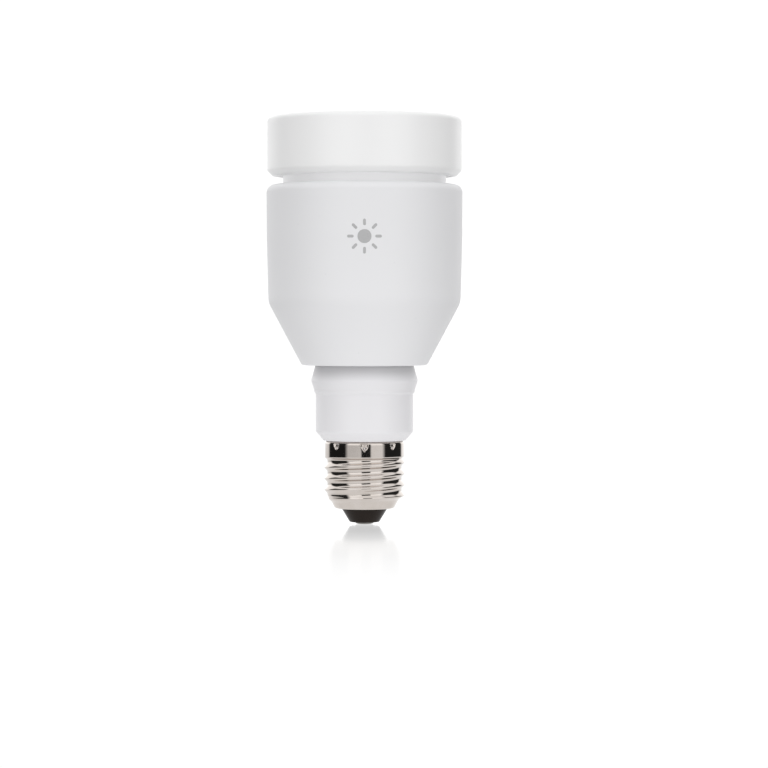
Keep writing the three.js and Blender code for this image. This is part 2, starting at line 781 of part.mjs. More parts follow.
// A lead from the driver board, up through the lid and the stack, into the LED board's connector.
function ledLead(x) {
  const lidFootZ = lidZ - sleeveLidSpigot;
  return wire([
    [x, driverMiddleY, driverBoardTopZ + fitGap],
    [x, (driverMiddleY + leadHoleY) / 2, (driverBoardTopZ + lidFootZ) / 2],
    [x, leadHoleY, lidFootZ + 0.5],
    [x, leadHoleY, (lidTopZ + ledBoardZ) / 2],
    [x, leadHoleY, partsZ],
    [x, connectorY + connectorSize[1] / 2 + fitGap, partsZ + connectorSize[2] / 2],
  ]);
}

add('led_lead_positive', ledLead(-leadSpacing / 2), redWire);
add('led_lead_negative', ledLead(leadSpacing / 2), whiteWire);

export default bulb;
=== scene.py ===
import math
import bpy
import numpy as np
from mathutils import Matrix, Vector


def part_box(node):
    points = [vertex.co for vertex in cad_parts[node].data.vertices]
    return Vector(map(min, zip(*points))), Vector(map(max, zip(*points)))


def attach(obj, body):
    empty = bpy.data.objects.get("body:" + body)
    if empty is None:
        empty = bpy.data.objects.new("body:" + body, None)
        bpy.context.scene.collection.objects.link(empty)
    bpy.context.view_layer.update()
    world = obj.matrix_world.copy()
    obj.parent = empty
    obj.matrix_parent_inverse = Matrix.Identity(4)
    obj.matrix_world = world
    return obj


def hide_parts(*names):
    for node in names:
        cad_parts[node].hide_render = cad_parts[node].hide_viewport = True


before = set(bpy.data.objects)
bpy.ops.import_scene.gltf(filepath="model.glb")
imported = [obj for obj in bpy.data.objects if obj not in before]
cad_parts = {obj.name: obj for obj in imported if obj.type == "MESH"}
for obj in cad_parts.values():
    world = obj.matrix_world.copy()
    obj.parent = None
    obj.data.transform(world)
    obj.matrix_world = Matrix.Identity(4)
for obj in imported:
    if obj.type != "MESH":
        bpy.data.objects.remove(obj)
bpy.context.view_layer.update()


# ---- Screw cap: the nickel-plated shell ----
# A cup of thin brass sheet, drawn and then rolled into the right-hand lamp thread, plated with
# nickel. Eight punched stakes in its skirt bite into the collar's plug and hold the cap on.

MM = 0.001
COLUMNS = 192  # facets around a smooth turned piece
ARC_STEP = 0.13  # radians from point to point round a corner


def around(count):
    """That many even angles of one full turn: 2 pi i / count."""
    return np.arange(count) * 2 * math.pi / count


def outline_of(corners, spacing=0.8):
    """An outline in millimetres through [radius, height, round] corners: straight runs, with a
    point at every spacing, joined at each corner by an arc of that round, where there is one. It
    runs out along the bottom and up the outside, and either starts and ends on the axis or closes
    on itself."""
    closed = corners[0][0] > 0
    ends = []
    for i, (radius, height, *rest) in enumerate(corners):
        here = np.array([radius, height], float)
        if not rest:
            ends.append(here[None])
            continue
        back = np.array(corners[i - 1][:2], float) - here
        ahead = np.array(corners[(i + 1) % len(corners)][:2], float) - here
        back /= np.linalg.norm(back)
        ahead /= np.linalg.norm(ahead)
        half = math.acos(np.clip(back @ ahead, -1, 1)) / 2
        middle = (back + ahead) / np.linalg.norm(back + ahead)
        centre = here + middle * rest[0] / math.sin(half)
        start = here + back * rest[0] / math.tan(half) - centre
        side = here + ahead * rest[0] / math.tan(half) - centre
        sweep = math.atan2(start[0] * side[1] - start[1] * side[0], start @ side)
        turn = np.linspace(0, sweep, max(3, int(abs(sweep) / ARC_STEP) + 1))[:, None]
        quarter = np.array([-start[1], start[0]])
        ends.append(centre + start * np.cos(turn) + quarter * np.sin(turn))
    points = np.vstack(ends)
    stops = np.vstack([points[1:], points[:1]]) if closed else points[1:]
    runs = []
    for start, stop in zip(points, stops):
        steps = max(1, int(np.linalg.norm(stop - start) / spacing))
        runs.append(start + (stop - start) * np.arange(steps)[:, None] / steps)
    if not closed:
        runs.append(points[-1:])
    return np.vstack(runs)


def grid_faces(rows, columns, closed=False):
    """Four-cornered faces of a grid of rows by columns, joined from the last column back to the
    first, and from the last row back to the first if closed."""
    row = np.arange(rows if closed else rows - 1)[:, None]
    column = np.arange(columns)[None]
    above = (row + 1) % rows
    beside = (column + 1) % columns
    corners = [row * columns + column, row * columns + beside,
               above * columns + beside, above * columns + column]
    return np.stack([c.ravel() for c in np.broadcast_arrays(*corners)], 1)


def mesh_piece(name, points, faces, material):
    """An object at the origin from points in millimetres and a list of face arrays."""
    mesh = bpy.data.meshes.new(name)
    lists = [face for group in faces for face in group.tolist()]
    mesh.from_pydata((points * MM).tolist(), [], lists)
    mesh.polygons.foreach_set("use_smooth", np.ones(len(mesh.polygons), bool))
    mesh.materials.append(material)
    piece = bpy.data.objects.new(name, mesh)
    bpy.context.scene.collection.objects.link(piece)
    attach(piece, "root")
    return piece


def turned_piece(name, outline, material, columns=COLUMNS, shape=None):
    """The outline carried round the Z axis: x = r cos a, y = r sin a. shape(r, a, z) gives the
    radius of each point, where it isn't simply the outline's. On the axis the ring is one point."""
    ends_on_axis = outline[0, 0] < 1e-9
    rings = outline[1:-1] if ends_on_axis else outline
    radius = np.repeat(rings[:, :1], columns, 1)
    height = np.repeat(rings[:, 1:], columns, 1)
    angles = np.broadcast_to(around(columns), radius.shape)
    if shape:
        radius = shape(radius, angles, height)
    points = np.stack([radius * np.cos(angles), radius * np.sin(angles), height], 2).reshape(-1, 3)
    faces = [grid_faces(len(rings), columns, closed=not ends_on_axis)]
    if ends_on_axis:
        first, last = len(points), len(points) + 1
        poles = [[0, 0, outline[0, 1]], [0, 0, outline[-1, 1]]]
        points = np.vstack([points, poles])
        here = np.arange(columns)
        beside = (here + 1) % columns
        top = (len(rings) - 1) * columns
        faces.append(np.stack([np.full(columns, first), beside, here], 1))
        faces.append(np.stack([top + here, top + beside, np.full(columns, last)], 1))
    return mesh_piece(name, points, faces, material)


def stand_for(node):
    """The piece takes the place of a CAD node, which is hidden."""
    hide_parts(node)


def heights(node):
    """A node's lowest and highest point in millimetres."""
    low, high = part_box(node)
    return low[2] / MM, high[2] / MM


def smooth_step(value, low, high):
    """0 below low, 1 above high, and 3t^2 - 2t^3 between them."""
    t = np.clip((value - low) / (high - low), 0, 1)
    return t * t * (3 - 2 * t)


shell_low, shell_high = heights("screw_shell")
thread_pitch = 3.629
thread_crest = 13.05
thread_root = 12.1
thread_phase = 4.41
crest_power = 1.7  # above 1 the crests are narrower than the roots
skirt_radius = 12.9
skirt_low = shell_high - 5
skirt_step = 0.9
curl_height, curl_depth = 0.9, 0.4
shoulder_high = shell_low + 4.4
shell_wall = 0.35
row_step = 0.15
stake_count = 8
stake_low, stake_pit, stake_high = shell_high - 3.1, shell_high - 2.1, shell_high - 0.7
stake_foot, stake_growth, stake_depth = 0.35, 0.85, 0.72
pit_floor, pit_rim, pit_depth = 0.2, 0.46, 0.6
burr_radius, burr_width, burr_height = 0.68, 0.2, 0.14


def stakes(radius, angle, height):
    """The punched stakes. Each is a tongue, narrow and shallow below, wide and deep above, with a
    sharp step back at its top. In its middle is a pit inside a small burr, which follows a bell
    curve of the distance from the pit: exp(-((distance - radius) / width)^2)."""
    turn = (angle + math.pi / 2) * stake_count / (2 * math.pi)
    across = (turn - np.round(turn)) * 2 * math.pi / stake_count * skirt_radius
    share = np.clip((height - stake_low) / (stake_high - stake_low), 0, 1)
    half_width = stake_foot + stake_growth * share ** 0.6
    inside = 1 - smooth_step(np.abs(across), half_width - 0.22, half_width + 0.05)
    inside = inside * (1 - smooth_step(height, stake_high - 0.1, stake_high + 0.12))
    from_pit = np.hypot(across, height - stake_pit)
    burr = np.exp(-((from_pit - burr_radius) / burr_width) ** 2)
    pit = 1 - smooth_step(from_pit, pit_floor, pit_rim)
    return radius - (stake_depth * share + pit_depth * pit - burr_height * burr) * inside


def rolled_thread(radius, angle, height):
    """The wall pushed out by (crest - root) times ((1 + cos 2 pi t) / 2)^power, where t grows by 1
    for each pitch of height and falls by 1 for each turn. It fades out at the shoulder and under
    the skirt."""
    turn = (height - shell_low - thread_phase) / thread_pitch - angle / (2 * math.pi)
    wave = (0.5 + 0.5 * np.cos(2 * math.pi * turn)) ** crest_power
    start = smooth_step(height, shoulder_high - 2.5, shoulder_high)
    end = 1 - smooth_step(height, skirt_low - skirt_step, skirt_low)
    return stakes(radius + (thread_crest - thread_root) * wave * start * end, angle, height)


def shell_outline():
    """The shell's wall without its thread: a rounded lip and shoulder, the thread's root, a smooth
    step out to the skirt, whose rim curls in by a square law, and the same line moved in by the
    wall on the way back, with a quarter of the points."""
    lip = thread_root - 4.3
    shoulder = outline_of([
        [lip, shell_low],
        [lip + 1.9, shell_low + 0.25, 0.9],
        [lip + 2.9, shell_low + 2.2, 1.5],
        [thread_root, shoulder_high],
        [thread_root, shoulder_high + 0.1],
    ], spacing=0.18)[:-1]
    shoulder = shoulder[: np.argmax(shoulder[:, 1]) + 1]  # without the line that closes it
    height = np.arange(shoulder_high + row_step, shell_high - 0.12, row_step)
    skirt = smooth_step(height, skirt_low - skirt_step, skirt_low)
    radius = thread_root + (skirt_radius - thread_root) * skirt
    curl = np.clip((height - shell_high + curl_height) / curl_height, 0, 1)
    radius = radius - curl_depth * curl ** 2
    rim = [[skirt_radius - 0.45, shell_high - 0.03], [skirt_radius - 0.55, shell_high]]
    outside = np.vstack([shoulder, np.stack([radius, height], 1), rim])
    inside = np.stack([outside[:, 0] - shell_wall, outside[:, 1]], 1)
    inside[: len(shoulder), 1] += shell_wall
    inside[: len(shoulder), 0] += 0.7 * shell_wall
    return np.vstack([outside, inside[::-4]])


def new_material(name, metallic=0.0):
    """A material with a Principled shader. Returns it, its tree, the shader and Object coordinates."""
    material = bpy.data.materials.new(name)
    material.use_nodes = True
    tree = material.node_tree
    shader = tree.nodes["Principled BSDF"]
    shader.inputs["Metallic"].default_value = metallic
    place = tree.nodes.new("ShaderNodeTexCoord")
    return material, tree, shader, place.outputs["Object"]


def join(tree, kind, links=(), **values):
    """A node of the kind with its properties set. links are (socket, output or plain value)."""
    node = tree.nodes.new(kind)
    for key, value in values.items():
        setattr(node, key, value)
    for socket, output in links:
        if hasattr(output, "is_linked"):
            tree.links.new(output, node.inputs[socket])
        else:
            node.inputs[socket].default_value = output
    return node


def new_group(name, inputs, outputs):
    """An empty shader node group. inputs are (name, default value), where None makes a vector."""
    tree = bpy.data.node_groups.new(name, "ShaderNodeTree")
    for label, value in inputs:
        kind = "NodeSocketVector" if value is None else "NodeSocketFloat"
        socket = tree.interface.new_socket(label, in_out="INPUT", socket_type=kind)
        if value is not None:
            socket.default_value = value
    for label in outputs:
        tree.interface.new_socket(label, in_out="OUTPUT", socket_type="NodeSocketFloat")
    start = tree.nodes.new("NodeGroupInput")
    end = tree.nodes.new("NodeGroupOutput")
    return tree, start.outputs, end.inputs


def use_group(tree, group, links):
    """The group placed in a material, with its inputs linked or set. Returns its outputs."""
    return join(tree, "ShaderNodeGroup", links, node_tree=group).outputs


def calc(tree, operation, first, second=0.0):
    """The output of one Math node."""
    return join(tree, "ShaderNodeMath", [(0, first), (1, second)], operation=operation).outputs[0]


def ramp(tree, value, low, high, start=0.0, end=1.0, kind="LINEAR"):
    """Start where the value is low, end where it is high, held beyond both."""
    return join(tree, "ShaderNodeMapRange", [
        ("Value", value), ("From Min", low), ("From Max", high), ("To Min", start), ("To Max", end),
    ], interpolation_type=kind).outputs[0]


def mix(tree, share, first, second):
    """A blend of two colours, each of them three numbers or an output."""
    ends = [end if hasattr(end, "is_linked") else (*end, 1) for end in (first, second)]
    return join(tree, "ShaderNodeMix", [("Factor", share), ("A", ends[0]), ("B", ends[1])],
                data_type="RGBA").outputs["Result"]


def noise(tree, place, scale, detail=2.0, **more):
    """The output of a Noise texture of that many cells to a metre."""
    inputs = [("Vector", place), ("Scale", scale), ("Detail", detail)]
    inputs += [(key.replace("_", " ").title(), value) for key, value in more.items()]
    return join(tree, "ShaderNodeTexNoise", inputs).outputs["Fac"]


def finish_with(tree, shader, colour, roughness, height=None, strength=0.3, depth=0.00002):
    """Feeds the shader's colour and roughness, and a height to its normal through a Bump node."""
    tree.links.new(colour, shader.inputs["Base Color"])
    tree.links.new(roughness, shader.inputs["Roughness"])
    if height is not None:
        bump = join(tree, "ShaderNodeBump", [("Height", height), ("Strength", strength),
                                             ("Distance", depth)])
        tree.links.new(bump.outputs["Normal"], shader.inputs["Normal"])


def handling_group():
    """Faint smudges and hairlines from handling: Smudge is a soft cloud of 10 to 20 mm, Hairline is
    thin streaks that run around the piece, and both are 0 to 1."""
    tree, given, out = new_group("handling_marks", [("Place", None), ("Size", 90.0)],
                                 ["Smudge", "Hairline"])
    cloud = noise(tree, given["Place"], given["Size"], 3.0, roughness=0.55)
    stretched = join(tree, "ShaderNodeMapping", [("Vector", given["Place"]),
                                                 ("Scale", (1.0, 1.0, 26.0))])
    streak = noise(tree, stretched.outputs["Vector"], 240.0, 4.0)
    tree.links.new(ramp(tree, cloud, 0.42, 0.72), out["Smudge"])
    tree.links.new(ramp(tree, streak, 0.5, 0.8), out["Hairline"])
    return tree


handling_marks = handling_group()


def plated_metal(name, bright, dull, smooth, rough, line_depth=0.00004, cloud=160.0):
    """A metal that clouds from a bright tone to a duller one. Its rolling or turning lines run
    around it, and make it rougher where they are."""
    material, tree, shader, place = new_material(name, metallic=1.0)
    marks = use_group(tree, handling_marks, [("Place", place), ("Size", cloud)])
    finish_with(tree, shader, mix(tree, marks["Smudge"], bright, dull),
                ramp(tree, marks["Hairline"], 0, 1, smooth, rough), marks["Hairline"], 0.12, line_depth)
    return material


nickel = plated_metal("nickel_plate", (0.62, 0.57, 0.535), (0.57, 0.52, 0.475), 0.06, 0.11, 0.00001)
cap_shell = turned_piece("cap_shell", shell_outline(), nickel, columns=384, shape=rolled_thread)
stand_for("screw_shell")


# ---- Screw cap: the insulator ----
# A cone of black vitrite glass, poured hot into the shell's mouth, so its lip is fused to the metal.
# Its face is slightly dished around the contact and shows the flow of the glass.

insulator_low, insulator_high = heights("cap_insulator")
rivet_hole = 1.6
mouth_radius = 7.35
flange_radius = 10.3


def black_vitrite():
    """Near-black brown glass with slow flow lines, fine pits and a fire-polished gloss."""
    material, tree, shader, place = new_material("black_vitrite")
    shader.inputs["Specular IOR Level"].default_value = 0.12
    flow = noise(tree, place, 420.0, 3.0, distortion=1.6)
    pits = join(tree, "ShaderNodeTexVoronoi", [("Vector", place), ("Scale", 1500.0)])
    finish_with(tree, shader, mix(tree, flow, (0.010, 0.007, 0.005), (0.021, 0.0145, 0.011)),
                ramp(tree, pits.outputs["Distance"], 0, 1, 0.42, 0.26), flow, 0.25, 0.0001)
    return material


insulator_outline = outline_of([
    [rivet_hole, insulator_low + 0.12],
    [3.4, insulator_low, 0.6],
    [4.8, insulator_low, 0.45],
    [mouth_radius, shell_low - 0.1, 0.2],
    [mouth_radius, shell_low + 0.8],
    [9.0, shell_low + 2.1],
    [flange_radius, shell_low + 4.0],
    [flange_radius, insulator_high, 0.4],
    [rivet_hole, insulator_high],
], spacing=0.4)
insulator = turned_piece("vitrite_insulator", insulator_outline, black_vitrite(), columns=128)
stand_for("cap_insulator")


# ---- Screw cap: the centre contact ----
# A tinned brass rivet headed over the glass. Its tip was filed flat where the solder that holds
# the fusible resistor's lead came through.

contact_low, contact_high = heights("centre_contact")
head_high = contact_low + 0.6
shank_radius = 1.3


def tinned_brass():
    """Soft grey solder over brass: mottled, with small rounded dimples."""
    material, tree, shader, place = new_material("tinned_brass", metallic=1.0)
    grain = noise(tree, place, 900.0, 4.0)
    finish_with(tree, shader, mix(tree, grain, (0.14, 0.132, 0.124), (0.25, 0.24, 0.225)),
                ramp(tree, grain, 0, 1, 0.22, 0.45), grain, 0.4, 0.0001)
    return material


contact_outline = outline_of([
    [0, contact_low],
    [1.75, contact_low, 0.5],
    [2.85, contact_low + 0.2, 0.35],
    [3.1, head_high, 0.08],
    [shank_radius, head_high],
    [shank_radius, contact_high, 0.2],
    [0, contact_high],
], spacing=0.3)
contact = turned_piece("contact_rivet", contact_outline, tinned_brass(), columns=64)
stand_for("centre_contact")


# ---- Fusible resistor in the cap ----
# A metal-film resistor under flameproof green lacquer with four colour bands. Its tinned leads run
# from the rivet below to the live wire above.


def distance(tree, across, beyond):
    """The square root of across^2 + beyond^2."""
    squares = calc(tree, "ADD", calc(tree, "POWER", across, 2.0), calc(tree, "POWER", beyond, 2.0))
    return calc(tree, "SQRT", squares)


def axis_group():
    """Where a point is around an upright axis at X, Y: its Radius from it and its Height in
    metres, and its Angle in radians."""
    tree, given, out = new_group("around_axis", [("Place", None), ("X", 0.0), ("Y", 0.0)],
                                 ["Radius", "Angle", "Height"])
    split = join(tree, "ShaderNodeSeparateXYZ", [("Vector", given["Place"])]).outputs
    across = calc(tree, "SUBTRACT", split["X"], given["X"])
    beyond = calc(tree, "SUBTRACT", split["Y"], given["Y"])
    tree.links.new(distance(tree, across, beyond), out["Radius"])
    tree.links.new(calc(tree, "ARCTAN2", beyond, across), out["Angle"])
    tree.links.new(split["Z"], out["Height"])
    return tree


around_axis = axis_group()
resistor_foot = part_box("fusible_resistor")[0][2]
resistor_bands = [(4.6, (0.45, 0.02, 0.01)), (5.9, (0.02, 0.02, 0.02)), (7.2, (0.03, 0.02, 0.35)),
                  (9.4, (0.42, 0.26, 0.06))]
band_half, lead_edge = 0.45, 0.42


def near(tree, value, middle, half_width, soft=0.00005):
    """1 where the value is within half_width of the middle, and 0 elsewhere."""
    away = calc(tree, "ABSOLUTE", calc(tree, "SUBTRACT", value, middle))
    return ramp(tree, away, half_width + soft, half_width - soft)


def banded_lacquer():
    """Green lacquer with a coloured ring at each height above the resistor's foot. The leads, which
    are the part close to the axis, are tinned metal."""
    material, tree, shader, place = new_material("resistor_lacquer")
    at = use_group(tree, around_axis, [("Place", place)])
    colour = mix(tree, noise(tree, place, 500.0), (0.10, 0.21, 0.10), (0.13, 0.26, 0.12))
    for height, ring in resistor_bands:
        band = near(tree, at["Height"], resistor_foot + height * MM, band_half * MM)
        colour = mix(tree, band, colour, ring)
    lead = ramp(tree, at["Radius"], (lead_edge + 0.08) * MM, lead_edge * MM)
    tree.links.new(lead, shader.inputs["Metallic"])
    finish_with(tree, shader, mix(tree, lead, colour, (0.6, 0.6, 0.58)),
                ramp(tree, noise(tree, place, 1400.0), 0, 1, 0.22, 0.4))
    return material


def painted(material, *nodes):
    """The material on CAD nodes whose own shape is right."""
    for node in nodes:
        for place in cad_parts[node].material_slots:
            place.material = material


painted(banded_lacquer(), "fusible_resistor")


# ---- Lower collar ----
# One white polyester moulding. Its plug is staked inside the cap's skirt, its lip rests on the
# skirt's rim, and its flared shoulder tucks up under the body.

collar_low, collar_high = heights("neck_collar")
body_low, body_high = heights("body_shell")
lip_low = shell_high + 0.12


def moulding_group():
    """The skin of a moulded plastic: Grain is a fine even spark texture, Flow is a slow unevenness
    in gloss, and Fleck is a rare darker speck. All are 0 to 1."""
    tree, given, out = new_group("moulding_skin", [("Place", None), ("Grain Size", 2600.0)],
                                 ["Grain", "Flow", "Fleck"])
    cells = join(tree, "ShaderNodeTexVoronoi", [("Vector", given["Place"]), ("Scale", 210.0)])
    tree.links.new(noise(tree, given["Place"], given["Grain Size"]), out["Grain"])
    tree.links.new(noise(tree, given["Place"], 34.0), out["Flow"])
    tree.links.new(ramp(tree, cells.outputs["Distance"], 0.07, 0.02), out["Fleck"])
    return tree


moulding_skin = moulding_group()


def moulded_plastic(name, light, dark, roughness, grain_depth, gap=None, gap_shade=1.0, glow=0.0):
    """A plastic whose colour drifts between two near tones, with moulded grain and rare specks. In a
    gap, given as two heights in millimetres, a painted shade darkens it by gap_shade from the first
    height to the second. Glow is an emission strength: painted light that brightens the whole piece."""
    material, tree, shader, place = new_material(name)
    skin = use_group(tree, moulding_skin, [("Place", place)])
    colour = mix(tree, skin["Flow"], light, dark)
    colour = mix(tree, skin["Fleck"], colour, [0.96 * c for c in dark])
    # Painted shade: the colour darkens by gap_shade across the gap's heights.
    if gap:
        height = use_group(tree, around_axis, [("Place", place)])["Height"]
        painted_shade = ramp(tree, height, gap[0] * MM, gap[1] * MM)
        colour = mix(tree, painted_shade, colour, [gap_shade * c for c in light])
    # Painted light: an emission that makes the piece glow, though it is no lamp.
    if glow:
        shader.inputs["Emission Color"].default_value = (*light, 1)
        shader.inputs["Emission Strength"].default_value = glow
    finish_with(tree, shader, colour, ramp(tree, skin["Flow"], 0, 1, roughness - 0.05, roughness + 0.05),
                skin["Grain"], 0.3, grain_depth)
    return material


plug_radius = skirt_radius - shell_wall - 0.3
collar_radius = 15.85
collar_neck = collar_radius + 0.25
collar_wall = 1.6
waist_low, waist_high = collar_low + 7.7, collar_low + 19.9
flare_radius, flare_high = collar_neck + 1.3, collar_low + 24.3
collar_outline = outline_of([
    [plug_radius - collar_wall, collar_low],
    [plug_radius, collar_low, 0.4],
    [plug_radius, lip_low],
    [skirt_radius + 0.5, lip_low, 0.2],
    [collar_radius, waist_low, 1.2],
    [collar_radius, waist_high, 1.0],
    [collar_radius + 0.5, waist_high + 0.7, 0.4],
    [collar_radius + 0.55, waist_high + 1.4, 0.5],
    [flare_radius, flare_high, 0.9],
    [collar_neck, flare_high + 4.7, 0.8],
    [collar_neck, collar_high, 0.3],
    [collar_radius - collar_wall, collar_high],
    [collar_radius - collar_wall, waist_low],
    [plug_radius - collar_wall, waist_low - 2],
])
# The collar's shoulder gets painted shade where it tucks under the body's foot.
collar_white = moulded_plastic("white_polyester", (0.845, 0.838, 0.858), (0.82, 0.813, 0.833), 0.42,
                               0.00002, gap=(flare_high + 0.3, flare_high + 3.1), gap_shade=0.73)
collar = turned_piece("lower_collar", collar_outline, collar_white)
stand_for("neck_collar")


# ---- Driver sleeve and its lid ----
# A tube of grey polyester that insulates the driver from the metal around it, dropped down the
# body's throat. The lid is pressed into its top.

sleeve_grey = moulded_plastic("sleeve_polyester", (0.48, 0.50, 0.51), (0.43, 0.45, 0.46), 0.55, 0.00004)
painted(sleeve_grey, "driver_sleeve", "sleeve_lid")


# ---- Driver board ----
# Glass-epoxy laminate under green solder mask, slid down into the sleeve. Raised tracks and square
# pads show through the mask.


def board_laminate(name, mask, track, roughness=0.3):
    """Solder mask over square islands of copper, which stand up a little, with the glass weave
    showing faintly between them."""
    material, tree, shader, place = new_material(name)
    cells = join(tree, "ShaderNodeTexVoronoi", [("Vector", place), ("Scale", 420.0)],
                 distance="CHEBYCHEV").outputs["Distance"]
    copper = ramp(tree, cells, 0.42, 0.36)
    weave = noise(tree, place, 3200.0, 1.0)
    ground = mix(tree, weave, mask, [0.85 * c for c in mask])
    finish_with(tree, shader, mix(tree, copper, ground, track),
                ramp(tree, weave, 0, 1, roughness - 0.06, roughness + 0.1), copper, 0.5, 0.00003)
    return material


green_board = board_laminate("green_laminate", (0.02, 0.10, 0.04), (0.035, 0.15, 0.055))
painted(green_board, "driver_board", "radio_board")


# ---- Capacitors ----
# Two electrolytic cans in shrunk blue-black sleeve, with a pale stripe on the negative side and a
# scored aluminium top, and a film capacitor cast in a red-brown box.


def sleeved_can(node):
    """Dark sleeve with a stripe down the side away from the board. Inside the sleeve's turned-in
    edge the top is bare aluminium with a cross scored in it, where radius times sin 2 angle is
    near 0."""
    material, tree, shader, place = new_material(node + "_can")
    low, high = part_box(node)
    edge = (high[0] - low[0]) / 2 - 0.9 * MM
    at = use_group(tree, around_axis, [("Place", place), ("X", (low[0] + high[0]) / 2),
                                       ("Y", (low[1] + high[1]) / 2)])
    stripe = near(tree, at["Angle"], math.pi / 2, 0.38, 0.02)
    colour = mix(tree, noise(tree, place, 300.0), (0.03, 0.035, 0.07), (0.022, 0.026, 0.055))
    colour = mix(tree, stripe, colour, (0.42, 0.43, 0.46))
    inside = ramp(tree, at["Radius"], edge, edge - 0.2 * MM)
    above = ramp(tree, at["Height"], high[2] - 0.3 * MM, high[2] - 0.1 * MM)
    top = calc(tree, "MULTIPLY", inside, above)
    quarters = calc(tree, "SINE", calc(tree, "MULTIPLY", at["Angle"], 2.0))
    beside = calc(tree, "ABSOLUTE", calc(tree, "MULTIPLY", at["Radius"], quarters))
    cross = ramp(tree, beside, 0.5 * MM, 0.3 * MM)
    metal = mix(tree, cross, (0.62, 0.63, 0.64), (0.3, 0.31, 0.32))
    tree.links.new(top, shader.inputs["Metallic"])
    finish_with(tree, shader, mix(tree, top, colour, metal),
                ramp(tree, noise(tree, place, 900.0), 0, 1, 0.25, 0.42), cross, 0.4, 0.0001)
    return material


for can in ("bulk_capacitor", "output_capacitor"):
    painted(sleeved_can(can), can)
film_red = moulded_plastic("film_box_epoxy", (0.33, 0.03, 0.02), (0.28, 0.025, 0.018), 0.4, 0.00005)
painted(film_red, "film_capacitor")


# ---- Transformer and output inductor ----
# A pressed ferrite core around a coil under yellow polyester tape, and a ferrite drum with its
# enamelled copper wire in view between two flanges.


def wound_tape():
    """Yellow tape in flat turns: the edge of each turn shows as a darker line, a little raised."""
    material, tree, shader, place = new_material("winding_tape")
    marks = use_group(tree, handling_marks, [("Place", place), ("Size", 260.0)])
    tone = mix(tree, marks["Smudge"], (0.69, 0.45, 0.03), (0.60, 0.37, 0.025))
    finish_with(tree, shader, mix(tree, marks["Hairline"], tone, (0.42, 0.25, 0.02)),
                ramp(tree, marks["Smudge"], 0, 1, 0.25, 0.4), marks["Hairline"], 0.5, 0.00008)
    return material


def pressed_ferrite(tree, place):
    """The dark grey of pressed and fired ferrite, with its coarse grain."""
    return mix(tree, noise(tree, place, 1600.0, 3.0), (0.03, 0.028, 0.026), (0.075, 0.07, 0.065))


def ferrite_core():
    """Bare fired ferrite, dull and rough."""
    material, tree, shader, place = new_material("fired_ferrite")
    grain = noise(tree, place, 2200.0, 3.0)
    finish_with(tree, shader, pressed_ferrite(tree, place), ramp(tree, grain, 0, 1, 0.6, 0.85), grain,
                0.5, 0.00006)
    return material


wire_turn, flange_height = 0.5, 1.2


def copper_drum(node):
    """Enamelled wire in level turns, one for each wire_turn of height: the colour and the bump
    follow a sine of it. The flanges at both ends are ferrite."""
    material, tree, shader, place = new_material("enamelled_copper")
    low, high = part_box(node)
    height = use_group(tree, around_axis, [("Place", place)])["Height"]
    wire = calc(tree, "SINE", calc(tree, "MULTIPLY", height, 2 * math.pi / (wire_turn * MM)))
    wire = ramp(tree, wire, -1, 1)
    coil_half = (high[2] - low[2]) / 2 - (flange_height + 0.05) * MM
    coil = near(tree, height, (low[2] + high[2]) / 2, coil_half)
    copper = mix(tree, wire, (0.20, 0.05, 0.012), (0.62, 0.22, 0.07))
    tree.links.new(coil, shader.inputs["Metallic"])
    finish_with(tree, shader, mix(tree, coil, pressed_ferrite(tree, place), copper),
                ramp(tree, coil, 0, 1, 0.7, 0.3), wire, 0.8, 0.00012)
    return material


painted(ferrite_core(), "transformer_core")
painted(wound_tape(), "transformer_winding")
painted(copper_drum("output_inductor"), "output_inductor")


# ---- Varistor and the black parts ----
# A disc dipped in blue lacquer, which pools into an uneven skin, and the rectifier, transistor and
# chip in black epoxy, soldered flat to the board's back.


def dipped_lacquer():
    """Blue dipping lacquer: a pooled, slightly lumpy gloss."""
    material, tree, shader, place = new_material("varistor_lacquer")
    lump = noise(tree, place, 350.0, 3.0)
    finish_with(tree, shader, mix(tree, lump, (0.02, 0.09, 0.33), (0.04, 0.15, 0.46)),
                ramp(tree, lump, 0, 1, 0.14, 0.34), lump, 0.6, 0.0003)
    return material


painted(dipped_lacquer(), "varistor")
black_epoxy = moulded_plastic("black_epoxy", (0.014, 0.014, 0.015), (0.010, 0.010, 0.011), 0.6, 0.00006)
painted(black_epoxy, "bridge_rectifier", "power_transistor", "driver_chip")


# ---- Wires ----
# Stranded wire in soft coloured insulation. The live and neutral wires go down to the cap, and a red
# and a white lead go up through the lid to the LED board.

wire_colours = [
    ("red_insulation", (0.48, 0.02, 0.015), ("live_wire", "led_lead_positive")),
    ("black_insulation", (0.015, 0.015, 0.015), ("neutral_wire",)),
    ("white_insulation", (0.78, 0.78, 0.75), ("led_lead_negative",)),
]
for name, colour, wires in wire_colours:
    worn = [0.85 * c for c in colour]
    painted(moulded_plastic(name, colour, worn, 0.38, 0.00005), *wires)


# ---- Body ----
# The housing: thermally conductive white plastic moulded over the aluminium cup, a cone that
# turns into a slightly tapering drum, with a fine spark-eroded skin and a soft round at the top.

body_foot = flare_radius + 3.05
body_throat = collar_neck + 0.3
body_top_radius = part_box("body_shell")[1][0] / MM
body_shoulder = body_top_radius - 0.65
body_shoulder_z = body_low + 20.4
body_wall = 2.0
groove_radius = 26.55
body_mouth = groove_radius + 0.12

